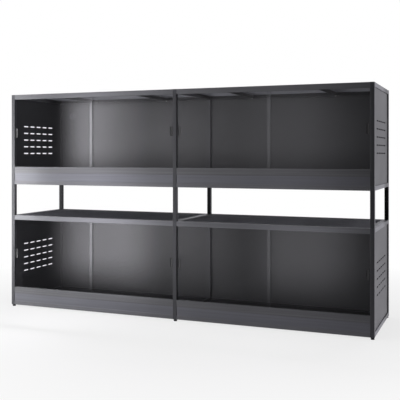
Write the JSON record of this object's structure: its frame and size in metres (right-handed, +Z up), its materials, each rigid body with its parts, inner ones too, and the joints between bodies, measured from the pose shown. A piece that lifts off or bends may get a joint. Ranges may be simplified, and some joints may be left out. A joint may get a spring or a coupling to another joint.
{
  "type": "reptile terrarium",
  "caption": "Two-level reptile terrarium in an aluminium tube frame, with sliding glass doors, vented end panels, screen tops and turning cable-port caps.",
  "frame": {"origin": "centre of the footprint, on the surface that the feet stand on", "axes": "+X along the front to the right end, -Y out of the glass doors, +Z up"},
  "size_m": [2.44, 0.61, 1.442],
  "materials": {
    "anodised_tube": "satin black anodised extrusion",
    "joint_plastic": "moulded nylon, fine grain",
    "dam_panel": "satin black anodised plate",
    "inner_panel": "matt foamed PVC board",
    "side_panel": "matt foamed PVC board",
    "screen_metal": "black coated frame and woven mesh",
    "bar_metal": "black powder coat",
    "port_plastic": "moulded black plastic",
    "cap_plastic": "moulded black plastic, satin",
    "door_glass": "clear tempered glass, polished edges",
    "handle_metal": "satin black anodised",
    "screw_steel": "bright zinc plated",
    "foot_rubber": "black moulded rubber"
  },
  "bodies": {
    "cabinet": {"lower_posts": "anodised_tube", "lower_front_top_rails": "anodised_tube", "lower_rear_top_rails": "anodised_tube", "lower_top_cross_rails": "anodised_tube", "lower_front_bottom_rails": "anodised_tube", "lower_rear_bottom_rails": "anodised_tube", "lower_bottom_cross_rails": "anodised_tube", "lower_corner_joints": "joint_plastic", "lower_sill_rails": "anodised_tube", "lower_dam_panels": "dam_panel", "lower_back_panel_left": "inner_panel", "lower_back_panel_right": "inner_panel", "lower_side_panel_left": "side_panel", "lower_side_panel_right": "side_panel", "lower_floor_panels": "inner_panel", "lower_screen_left": "screen_metal", "lower_screen_right": "screen_metal", "lower_cross_bars": "bar_metal", "lower_cable_grommet": "port_plastic", "upper_posts": "anodised_tube", "upper_front_top_rails": "anodised_tube", "upper_rear_top_rails": "anodised_tube", "upper_top_cross_rails": "anodised_tube", "upper_front_bottom_rails": "anodised_tube", "upper_rear_bottom_rails": "anodised_tube", "upper_bottom_cross_rails": "anodised_tube", "upper_corner_joints": "joint_plastic", "upper_sill_rails": "anodised_tube", "upper_dam_panels": "dam_panel", "upper_back_panel_left": "inner_panel", "upper_back_panel_right": "inner_panel", "upper_side_panel_left": "side_panel", "upper_side_panel_right": "side_panel", "upper_floor_panels": "inner_panel", "upper_screen_left": "screen_metal", "upper_screen_right": "screen_metal", "upper_cross_bars": "bar_metal", "upper_cable_grommet": "port_plastic", "spacer_posts": "anodised_tube", "bar_screws": "screw_steel", "feet": "foot_rubber"},
    "lower_door_1": {"lower_door_1": "door_glass", "lower_handle_1": "handle_metal"},
    "lower_door_2": {"lower_door_2": "door_glass", "lower_handle_2": "handle_metal"},
    "lower_door_3": {"lower_door_3": "door_glass", "lower_handle_3": "handle_metal"},
    "lower_door_4": {"lower_door_4": "door_glass", "lower_handle_4": "handle_metal"},
    "lower_cable_cap": {"lower_cable_cap": "cap_plastic"},
    "upper_door_1": {"upper_door_1": "door_glass", "upper_handle_1": "handle_metal"},
    "upper_door_2": {"upper_door_2": "door_glass", "upper_handle_2": "handle_metal"},
    "upper_door_3": {"upper_door_3": "door_glass", "upper_handle_3": "handle_metal"},
    "upper_door_4": {"upper_door_4": "door_glass", "upper_handle_4": "handle_metal"},
    "upper_cable_cap": {"upper_cable_cap": "cap_plastic"}
  },
  "joints": [
    {"name": "lower_door_1_slide", "type": "slide", "parent": "cabinet", "child": "lower_door_1", "axis": [1, 0, 0], "range_m": [0, 0.575]},
    {"name": "lower_door_2_slide", "type": "slide", "parent": "cabinet", "child": "lower_door_2", "axis": [1, 0, 0], "range_m": [-0.575, 0]},
    {"name": "lower_door_3_slide", "type": "slide", "parent": "cabinet", "child": "lower_door_3", "axis": [1, 0, 0], "range_m": [0, 0.575]},
    {"name": "lower_door_4_slide", "type": "slide", "parent": "cabinet", "child": "lower_door_4", "axis": [1, 0, 0], "range_m": [-0.575, 0]},
    {"name": "lower_cable_cap_turn", "type": "hinge", "parent": "cabinet", "child": "lower_cable_cap", "pos_m": [-1.107, 0.292, 0.5], "axis": [0, 1, 0], "continuous": true},
    {"name": "upper_door_1_slide", "type": "slide", "parent": "cabinet", "child": "upper_door_1", "axis": [1, 0, 0], "range_m": [0, 0.575]},
    {"name": "upper_door_2_slide", "type": "slide", "parent": "cabinet", "child": "upper_door_2", "axis": [1, 0, 0], "range_m": [-0.575, 0]},
    {"name": "upper_door_3_slide", "type": "slide", "parent": "cabinet", "child": "upper_door_3", "axis": [1, 0, 0], "range_m": [0, 0.575]},
    {"name": "upper_door_4_slide", "type": "slide", "parent": "cabinet", "child": "upper_door_4", "axis": [1, 0, 0], "range_m": [-0.575, 0]},
    {"name": "upper_cable_cap_turn", "type": "hinge", "parent": "cabinet", "child": "upper_cable_cap", "pos_m": [-1.107, 0.292, 1.32], "axis": [0, 1, 0], "continuous": true}
  ]
}
